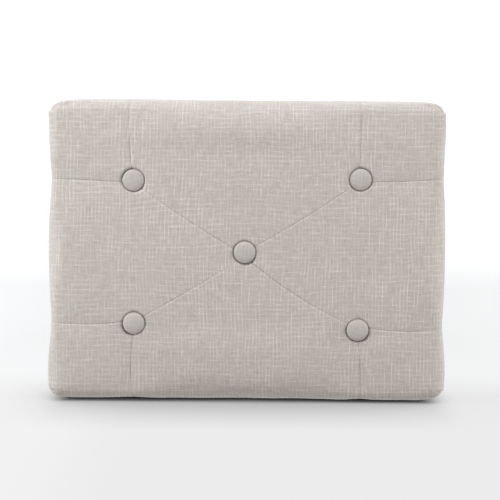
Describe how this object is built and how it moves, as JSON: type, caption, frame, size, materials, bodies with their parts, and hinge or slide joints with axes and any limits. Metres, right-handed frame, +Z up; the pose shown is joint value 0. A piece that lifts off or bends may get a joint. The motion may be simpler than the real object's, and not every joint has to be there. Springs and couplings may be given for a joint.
{
  "type": "tufted vanity stool",
  "caption": "Rectangular upholstered stool with a button-tufted linen seat on square tapered wooden legs, to sit on at a vanity table.",
  "frame": {"origin": "on the floor, under the middle of the seat", "axes": "+Z up, +X along the seat's long side to the right, +Y to the rear"},
  "size_m": [0.44, 0.33, 0.4562],
  "materials": {
    "linen": "slubby plain weave, matt, warm light grey",
    "foam": "open-cell upholstery foam, matt",
    "wadding": "polyester wadding, matt",
    "dust_cloth": "black bonded cloth, matt",
    "plywood": "raw plywood",
    "frame_wood": "raw softwood",
    "leg_wood": "dark stain under a satin lacquer",
    "zinc_steel": "zinc-plated",
    "twine": "waxed tufting twine",
    "plastic": "moulded, matt black"
  },
  "bodies": {
    "root": {"seat_cover": "linen", "foam_pad": "foam", "side_wadding": "wadding", "dust_cover": "dust_cloth", "deck_board": "plywood", "long_rail_front": "frame_wood", "long_rail_rear": "frame_wood", "short_rail_left": "frame_wood", "short_rail_right": "frame_wood", "corner_block_front_left": "frame_wood", "corner_block_front_right": "frame_wood", "corner_block_rear_left": "frame_wood", "corner_block_rear_right": "frame_wood", "rail_screw_long_front_left": "zinc_steel", "rail_screw_long_front_right": "zinc_steel", "rail_screw_long_rear_left": "zinc_steel", "rail_screw_long_rear_right": "zinc_steel", "rail_screw_short_front_left": "zinc_steel", "rail_screw_short_front_right": "zinc_steel", "rail_screw_short_rear_left": "zinc_steel", "rail_screw_short_rear_right": "zinc_steel", "leg_front_left": "leg_wood", "leg_front_right": "leg_wood", "leg_rear_left": "leg_wood", "leg_rear_right": "leg_wood", "hanger_bolt_front_left": "zinc_steel", "hanger_bolt_front_right": "zinc_steel", "hanger_bolt_rear_left": "zinc_steel", "hanger_bolt_rear_right": "zinc_steel", "tee_nut_front_left": "zinc_steel", "tee_nut_front_right": "zinc_steel", "tee_nut_rear_left": "zinc_steel", "tee_nut_rear_right": "zinc_steel", "foot_glide_front_left": "plastic", "foot_glide_front_right": "plastic", "foot_glide_rear_left": "plastic", "foot_glide_rear_right": "plastic", "button_cap_centre": "linen", "button_cap_front_left": "linen", "button_cap_front_right": "linen", "button_cap_rear_left": "linen", "button_cap_rear_right": "linen", "button_back_centre": "zinc_steel", "button_back_front_left": "zinc_steel", "button_back_front_right": "zinc_steel", "button_back_rear_left": "zinc_steel", "button_back_rear_right": "zinc_steel", "tuft_twine_centre": "twine", "tuft_twine_front_left": "twine", "tuft_twine_front_right": "twine", "tuft_twine_rear_left": "twine", "tuft_twine_rear_right": "twine", "twine_anchor_centre": "plastic", "twine_anchor_front_left": "plastic", "twine_anchor_front_right": "plastic", "twine_anchor_rear_left": "plastic", "twine_anchor_rear_right": "plastic"}
  },
  "joints": []
}
